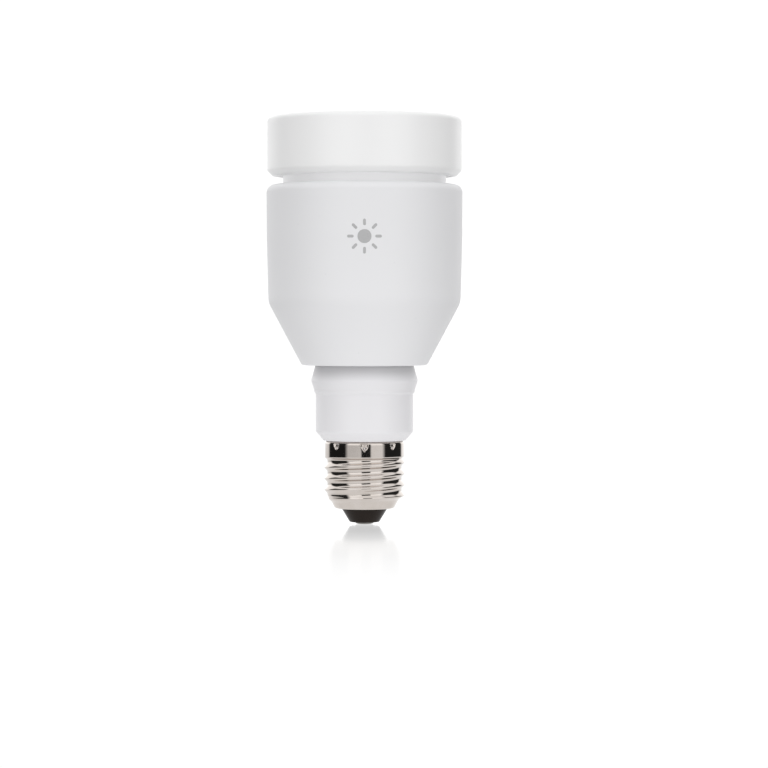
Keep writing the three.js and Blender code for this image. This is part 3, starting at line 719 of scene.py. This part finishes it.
body_white = moulded_plastic("white_housing", (0.865, 0.865, 0.88), (0.84, 0.84, 0.855), 0.5, 0.000035)
body_outline = outline_of([
    [body_throat, body_low],
    [body_foot, body_low, 1.2],
    [body_shoulder, body_shoulder_z, 7],
    [body_top_radius - 0.1, body_low + 42, 60],
    [body_top_radius, body_high, 2.6],
    [body_mouth, body_high],
    [body_mouth, body_high - body_wall],
    [body_top_radius - body_wall, body_high - body_wall, 1],
    [body_shoulder - body_wall, body_shoulder_z + 0.6],
    [body_foot - 1.6, body_low + body_wall],
    [body_throat, body_low + body_wall],
])
body = turned_piece("body_housing", body_outline, body_white)
stand_for("body_shell")


# ---- Sun mark on the drum ----
# A plain sign for light, pad-printed in grey ink on the front of the drum: a disc and eight short
# rays with round ends. The ink stands up a few hundredths of a millimetre.

mark_height = 93.0
disc_radius = 2.2
ray_count, ray_start, ray_end, ray_width = 8, 3.4, 5.5, 0.9
rim_points = 48
ink_layers = [(0.5, 0.045), (0.93, 0.045), (1.0, 0.02), (1.0, -0.06), (0.5, -0.06)]  # share, lift


def drum_radius(height):
    """The drum's outside radius at a height, read off the body's own outline."""
    side = body_outline[np.argmax(body_outline[:, 1] > body_shoulder_z + 5):]
    side = side[: np.argmax(side[:, 1] > body_high - 3)]
    return np.interp(height, side[:, 1], side[:, 0])


def capsule(angle, start, end, width):
    """The rim of a ray: a half circle round each end of the line along the angle. The round tips
    are at start and end."""
    turn = around(rim_points)
    half = width / 2
    along = half * np.cos(turn) + np.where(np.cos(turn) > 0, end - half, start + half)
    across = half * np.sin(turn)
    return np.stack([along * math.cos(angle) - across * math.sin(angle),
                     along * math.sin(angle) + across * math.cos(angle)], 1)


def ink_patch(rim):
    """A closed patch: copies of the rim, each scaled about its middle by its layer's share and lifted
    off the drum by its layer's lift, with a point in the middle of the top and of the bottom. Flat x
    is an arc of the drum, so the angle is x / r, and flat y is height."""
    middle = rim.mean(0)
    top_lift, bottom_lift = ink_layers[0][1], ink_layers[-1][1]
    layers = [(middle + (rim - middle) * share, lift) for share, lift in ink_layers]
    rows = []
    for flat, lift in [(middle[None], top_lift), *layers, (middle[None], bottom_lift)]:
        height = mark_height + flat[:, 1]
        radius = drum_radius(height)
        angle = flat[:, 0] / radius
        out = radius + lift
        rows.append(np.stack([out * np.sin(angle), -out * np.cos(angle), height], 1))
    points = np.vstack(rows)
    here = 1 + np.arange(rim_points)
    beside = 1 + (np.arange(rim_points) + 1) % rim_points
    last_ring = (len(ink_layers) - 1) * rim_points
    top = np.stack([np.zeros_like(here), here, beside], 1)
    bottom = np.stack([here + last_ring, np.full_like(here, len(points) - 1), beside + last_ring], 1)
    sides = grid_faces(len(ink_layers), rim_points)[:, ::-1] + 1
    return points, [top, sides, bottom]


def grey_ink():
    """Matt grey ink with the faint open grain of the printing pad."""
    material, tree, shader, place = new_material("grey_ink")
    grain = noise(tree, place, 2400.0, 3.0)
    tone = mix(tree, ramp(tree, grain, 0.35, 0.7), (0.47, 0.47, 0.475), (0.50, 0.50, 0.505))
    finish_with(tree, shader, tone, ramp(tree, grain, 0, 1, 0.55, 0.7), grain, 0.3, 0.00002)
    return material


def printed_sun():
    """The disc and the rays in one piece."""
    turn = around(rim_points)
    rims = [disc_radius * np.stack([np.cos(turn), np.sin(turn)], 1)]
    rims += [capsule(angle, ray_start, ray_end, ray_width) for angle in around(ray_count)]
    points, faces, count = [], [], 0
    for rim in rims:
        patch, groups = ink_patch(rim)
        points.append(patch)
        faces += [group + count for group in groups]
        count += len(patch)
    return mesh_piece("printed_mark", np.vstack(points), faces, grey_ink())


printed_sun()


# ---- Heat spreader and thermal pad ----
# A deep-drawn aluminium cup that hangs inside the drum, with a raised seat for the LED board, and a
# grey silicone pad cut to fit between them.

drawn_aluminium = plated_metal("drawn_aluminium", (0.62, 0.63, 0.64), (0.54, 0.55, 0.56), 0.32, 0.5,
                               0.0001)
painted(drawn_aluminium, "heat_spreader")
pad_grey = moulded_plastic("filled_silicone", (0.27, 0.31, 0.37), (0.23, 0.27, 0.32), 0.85, 0.0001)
painted(pad_grey, "thermal_pad")


# ---- LED board ----
# An aluminium-cored board under white solder mask, held down by three zinc-plated screws. It has a
# ring of twelve white LEDs, four three-colour LEDs inside it, and a nylon socket for the leads.


def led_places_group():
    """Where a point is on the nearest of the LEDs spaced by Step around a Ring, from the angle
    First: Sideways along the ring and Outward from it, in metres."""
    tree, given, out = new_group("led_places", [("Place", None), ("Ring", 0.01), ("First", 0.0),
                                                ("Step", 1.0)], ["Sideways", "Outward"])
    at = use_group(tree, around_axis, [("Place", given["Place"])])
    turn = calc(tree, "DIVIDE", calc(tree, "SUBTRACT", at["Angle"], given["First"]), given["Step"])
    part = calc(tree, "SUBTRACT", turn, calc(tree, "ROUND", turn))
    arc = calc(tree, "MULTIPLY", calc(tree, "MULTIPLY", part, given["Step"]), given["Ring"])
    tree.links.new(arc, out["Sideways"])
    tree.links.new(calc(tree, "SUBTRACT", at["Radius"], given["Ring"]), out["Outward"])
    return tree


led_places = led_places_group()
die_radius = 0.28


def led_package(name, first_led, count, window_radius, window, dies):
    """A white package with a round window over its middle. Each die is (sideways in mm, colour)."""
    material, tree, shader, place = new_material(name)
    low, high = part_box(first_led)
    x, y = (low[0] + high[0]) / 2, (low[1] + high[1]) / 2
    at = use_group(tree, led_places, [("Place", place), ("Ring", math.hypot(x, y)),
                                      ("First", math.atan2(y, x)), ("Step", 2 * math.pi / count)])

    def disc(sideways, radius):
        """1 within the radius of a point that many millimetres sideways, and 0 outside it."""
        across = calc(tree, "SUBTRACT", at["Sideways"], sideways * MM)
        away = distance(tree, across, at["Outward"])
        return ramp(tree, away, (radius + 0.04) * MM, (radius - 0.04) * MM)

    glass = disc(0, window_radius)
    colour = mix(tree, glass, (0.84, 0.84, 0.82), window)
    colour = mix(tree, noise(tree, place, 1500.0), colour, mix(tree, 0.06, colour, (0, 0, 0)))
    for sideways, die in dies:
        colour = mix(tree, disc(sideways, die_radius), colour, die)
    finish_with(tree, shader, colour, ramp(tree, glass, 0, 1, 0.5, 0.16), glass, 0.6, 0.0001)
    return material


led_mask = board_laminate("white_laminate", (0.86, 0.86, 0.84), (0.80, 0.79, 0.76), 0.35)
painted(led_mask, "led_board")
white_leds = [f"white_led_{i}" for i in range(1, 13)]
colour_leds = [f"colour_led_{i}" for i in range(1, 5)]
phosphor = led_package("phosphor_led", "white_led_1", len(white_leds), 1.15, (0.80, 0.58, 0.07), [])
painted(phosphor, *white_leds)
dies = [(-0.6, (0.55, 0.30, 0.12)), (0.0, (0.35, 0.50, 0.30)), (0.6, (0.25, 0.33, 0.60))]
three_colour = led_package("three_colour_led", "colour_led_1", len(colour_leds), 1.4, (0.55, 0.58, 0.58),
                           dies)
painted(three_colour, *colour_leds)
nylon = moulded_plastic("socket_nylon", (0.85, 0.85, 0.82), (0.80, 0.80, 0.77), 0.4, 0.00004)
painted(nylon, "led_connector")
zinc = plated_metal("zinc_plate", (0.55, 0.57, 0.60), (0.45, 0.46, 0.44), 0.25, 0.42)
painted(zinc, "board_screw_1", "board_screw_2", "board_screw_3")


# ---- Radio board ----
# A small green board that stands up through the LED board, with its header below, and a tinned can
# over the radio chip that is spot-soldered along its edges.

tinplate = plated_metal("tinplate", (0.58, 0.59, 0.59), (0.48, 0.49, 0.49), 0.22, 0.38, 0.00006, 320.0)
painted(tinplate, "radio_shield")
painted(black_epoxy, "radio_header")


# ---- Ring in the groove ----
# A plain white ring that stands on the spreader inside the body's mouth. It is the waist under the
# diffuser, and its spigot holds the diffuser from inside.

ring_low, ring_high = heights("diffuser_ring")
diffuser_low, diffuser_high = heights("diffuser")
spigot_radius = groove_radius + 1.4
ring_wall = 1.5
ring_outline = outline_of([
    [groove_radius - ring_wall, ring_low],
    [groove_radius, ring_low],
    [groove_radius, diffuser_low - 0.1, 0.2],
    [spigot_radius, diffuser_low + 0.1],
    [spigot_radius, ring_high, 0.3],
    [spigot_radius - ring_wall, ring_high],
    [groove_radius - ring_wall, diffuser_low + 0.1],
])
# The ring gets painted shade at its foot beside the body's rim, and a painted glow over all of it.
ring_white = moulded_plastic("white_ring", (0.94, 0.94, 0.945), (0.92, 0.92, 0.925), 0.45, 0.00002,
                             gap=(body_high + 2.4, body_high + 0.2), gap_shade=0.88, glow=0.13)
ring = turned_piece("groove_ring", ring_outline, ring_white)
stand_for("diffuser_ring")


# ---- Diffuser seal ----
# A bead of white silicone, run round inside the diffuser's mouth before it was pressed on.

seal_white = moulded_plastic("silicone_bead", (0.70, 0.70, 0.71), (0.66, 0.66, 0.67), 0.6, 0.00008)
painted(seal_white, "diffuser_seal")


# ---- Diffuser ----
# An injection-moulded cap of opal polycarbonate with a satin skin: a chamfer over the groove, a
# straight side, a rounded corner and a dome that rises only a millimetre and a half.

diffuser_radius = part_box("diffuser")[1][0] / MM
diffuser_foot = diffuser_radius - 1.7
diffuser_wall = 1.8
corner_round = 1.75
dome_edge = diffuser_radius - corner_round
dome_rise = 1.6
dome_points = 24
side_top = diffuser_high - dome_rise
diffuser_mouth = spigot_radius + 0.3


def dome(from_radius, to_radius, drop):
    """Points of a shallow spherical cap that rises by dome_rise from dome_edge to the axis, all of
    it lowered by drop. The sphere's radius is (edge^2 + rise^2) / (2 rise)."""
    sphere = (dome_edge ** 2 + dome_rise ** 2) / (2 * dome_rise)
    radius = np.linspace(from_radius, to_radius, dome_points)
    height = diffuser_high - drop - sphere + np.sqrt(sphere ** 2 - radius ** 2)
    return np.stack([radius, height], 1)


def diffuser_outline():
    """From the axis inside, down the inner wall, round the mouth, up the outside and over the top."""
    inside = diffuser_radius - diffuser_wall
    wall = outline_of([
        [0, side_top - diffuser_wall],
        [inside, side_top - diffuser_wall, 0.6],
        [inside, diffuser_low + 2.6, 1],
        [diffuser_mouth, diffuser_low + 0.9, 0.5],
        [diffuser_mouth, diffuser_low],
        [diffuser_foot, diffuser_low, 0.4],
        [diffuser_radius, diffuser_low + 1.7, 1.1],
        [diffuser_radius, side_top, corner_round],
        [0, side_top],
    ])
    # The wall's flat ceiling and flat top give way to the two domes.
    middle = wall[(wall[:, 0] > dome_edge - 1) | (wall[:, 1] < side_top - 2.5)]
    on_top = (middle[:, 0] < dome_edge - 0.01) & (middle[:, 1] > side_top - 0.01)
    middle = middle[: np.argmax(on_top)]
    under = dome(0, inside - 1.2, diffuser_wall)
    over = dome(dome_edge - 0.6, 0, 0)
    return np.vstack([under, middle, over])


def opal_polycarbonate():
    """Opal plastic with a satin skin, a little glossier than the housing, and a faint painted glow of
    its own emission.
    """
    material, tree, shader, place = new_material("opal_polycarbonate")
    skin = use_group(tree, moulding_skin, [("Place", place), ("Grain Size", 3400.0)])
    finish_with(tree, shader, mix(tree, skin["Flow"], (0.93, 0.93, 0.93), (0.912, 0.912, 0.914)),
                ramp(tree, skin["Flow"], 0, 1, 0.3, 0.4), skin["Grain"], 0.25, 0.00001)
    # Painted light: a faint emission that brightens the whole diffuser, though the bulb is not lit.
    shader.inputs["Emission Color"].default_value = (0.95, 0.95, 0.95, 1)
    shader.inputs["Emission Strength"].default_value = 0.03
    return material


diffuser = turned_piece("opal_diffuser", diffuser_outline(), opal_polycarbonate())
stand_for("diffuser")


# ---- Studio ----
# The bulb stands on a glossy white sheet inside a white tent that is brightest near the sheet.
# Black flags at its left, its right and round the camera are what the bright cap reflects, and what
# draws the edges of the white plastic. They are dark parts of the tent and the sheet, not objects.


left_flag, right_flag, side_edge = (-124, -53), (57, 134), 5
front_flag, front_edge = (-9, 18), 2
side_flag_top, front_flag_top = (0.56, 0.7), (0.26, 0.36)  # sines of the elevations they end at
matt_share, gloss_share = 0.42, 0.02  # what a flag leaves of the light


def flags_group():
    """Where the black flags are, seen from the bulb: Side and Front are 1 on a flag and 0 off it.
    Each flag is a band of azimuth, in degrees to the right of the bulb's front."""
    tree, given, out = new_group("black_flags", [("Way", None)], ["Side", "Front"])
    split = join(tree, "ShaderNodeSeparateXYZ", [("Vector", given["Way"])])
    back = calc(tree, "MULTIPLY", split.outputs["Y"], -1.0)
    degrees = calc(tree, "DEGREES", calc(tree, "ARCTAN2", split.outputs["X"], back))

    def band(ends, soft):
        """1 between the ends and 0 outside them, with soft degrees of change on both sides."""
        rising = ramp(tree, degrees, ends[0] - soft, ends[0] + soft)
        return calc(tree, "MULTIPLY", rising, ramp(tree, degrees, ends[1] + soft, ends[1] - soft))

    sides = calc(tree, "ADD", band(left_flag, side_edge), band(right_flag, side_edge))
    tree.links.new(sides, out["Side"])
    tree.links.new(band(front_flag, front_edge), out["Front"])
    return tree


black_flags = flags_group()


def ray(tree, kind):
    """1 on rays of that kind, and 0 on all others."""
    return join(tree, "ShaderNodeLightPath").outputs[f"Is {kind} Ray"]


def without(tree, amount, flag):
    """The amount where the flag is 0, and nearly nothing where it is 1. Fill light reaches round the
    flags, so matt surfaces lose only part of the amount."""
    kept = ramp(tree, ray(tree, "Diffuse"), 0, 1, gloss_share, matt_share)
    blocked = calc(tree, "MULTIPLY", amount, calc(tree, "SUBTRACT", 1.0, kept))
    return calc(tree, "SUBTRACT", amount, calc(tree, "MULTIPLY", flag, blocked))


def shown_as(tree, level, shown):
    """The shown level to the camera itself, and the other level to everything it lights."""
    return join(tree, "ShaderNodeMix", [("Factor", ray(tree, "Camera")), ("A", level),
                                        ("B", shown)]).outputs[0]


wall_level, roof_level = 1.46, 0.98


def tent_light():
    """White walls and roof, brightest at the sheet, less the flags up to their height."""
    world = bpy.data.worlds.new("tent")
    bpy.context.scene.world = world
    world.use_nodes = True
    tree = world.node_tree
    tree.nodes.clear()
    way = join(tree, "ShaderNodeTexCoord").outputs["Generated"]
    rise = join(tree, "ShaderNodeSeparateXYZ", [("Vector", way)]).outputs["Z"]
    flags = use_group(tree, black_flags, [("Way", way)])
    level = ramp(tree, rise, 0, 1, wall_level, roof_level)
    for flag, top in (("Side", side_flag_top), ("Front", front_flag_top)):
        below = ramp(tree, rise, *top, 1.0, 0.0, "SMOOTHSTEP")
        level = without(tree, level, calc(tree, "MULTIPLY", flags[flag], below))
    tent = join(tree, "ShaderNodeBackground", [("Color", shown_as(tree, level, 1.1))])
    out = join(tree, "ShaderNodeOutputWorld")
    tree.links.new(tent.outputs[0], out.inputs["Surface"])


tent_light()


side_flag_start, front_flag_start = (0.085, 0.12), (0.2, 0.25)  # metres from the foot
foot_fade = (0.03, 0.25)  # metres from the foot over which the glow and the mirror fade


def lit_sheet():
    """White acrylic lit from below. It glows white to the camera. The bulb sees it fall off away
    from its foot, rise toward the back and the right, which matt surfaces see little of, and end at
    the flags. It mirrors near the foot only, with a share of 0.68 Fresnel times fade^2."""
    material = bpy.data.materials.new("lit_acrylic")
    material.use_nodes = True
    tree = material.node_tree
    tree.nodes.clear()
    place = join(tree, "ShaderNodeTexCoord").outputs["Object"]
    away = join(tree, "ShaderNodeVectorMath", [(0, place)], operation="LENGTH").outputs["Value"]
    flags = use_group(tree, black_flags, [("Way", place)])
    level = ramp(tree, away, *foot_fade, 1.0, 0.84)
    split = join(tree, "ShaderNodeSeparateXYZ", [("Vector", place)]).outputs
    backdrop = calc(tree, "ADD", ramp(tree, split["Y"], 0.05, 0.5, 0.0, 0.32),
                    ramp(tree, split["X"], -0.2, 0.2, -0.12, 0.1))
    reach = ramp(tree, ray(tree, "Diffuse"), 0, 1, 1.0, 0.15)
    level = calc(tree, "ADD", level, calc(tree, "MULTIPLY", backdrop, reach))
    for flag, start in (("Side", side_flag_start), ("Front", front_flag_start)):
        beyond = ramp(tree, away, *start)
        level = without(tree, level, calc(tree, "MULTIPLY", flags[flag], beyond))
    glow = join(tree, "ShaderNodeEmission", [("Color", shown_as(tree, level, 1.03))])
    gloss = join(tree, "ShaderNodeBsdfGlossy", [("Color", (1, 1, 1, 1)), ("Roughness", 0.1)])
    grazing = join(tree, "ShaderNodeFresnel", [("IOR", 1.4)]).outputs[0]
    foot = ramp(tree, away, *foot_fade, 1.0, 0.0)
    share = calc(tree, "MULTIPLY", calc(tree, "POWER", foot, 2.0), calc(tree, "MULTIPLY", grazing, 0.68))
    both = join(tree, "ShaderNodeMixShader", [(0, share), (1, glow.outputs[0]),
                                              (2, gloss.outputs[0])])
    out = join(tree, "ShaderNodeOutputMaterial")
    tree.links.new(both.outputs[0], out.inputs["Surface"])
    return material


sheet_half = 2000.0  # the sheet runs out of sight on every side
sheet_corners = np.array([[-1, -1, 0], [1, -1, 0], [1, 1, 0], [-1, 1, 0]]) * sheet_half
sheet_mesh = bpy.data.meshes.new("floor_sheet")
sheet_mesh.from_pydata((sheet_corners * MM).tolist(), [], [[0, 1, 2, 3]])
sheet_mesh.materials.append(lit_sheet())
floor_sheet = bpy.data.objects.new("floor_sheet", sheet_mesh)
bpy.context.scene.collection.objects.link(floor_sheet)

# The lens is shifted and not tilted, so upright edges stay upright.
camera_data = bpy.data.cameras.new("camera")
camera_data.lens = 126.4
camera_data.sensor_width = 36
camera_data.shift_x = 0.0254
camera_data.shift_y = -0.0933
camera = bpy.data.objects.new("camera", camera_data)
camera.location = (0, -0.88, 0.069)
camera.rotation_euler = (math.pi / 2, 0, 0)
bpy.context.scene.collection.objects.link(camera)
bpy.context.scene.camera = camera
bpy.context.scene.view_settings.view_transform = "Standard"
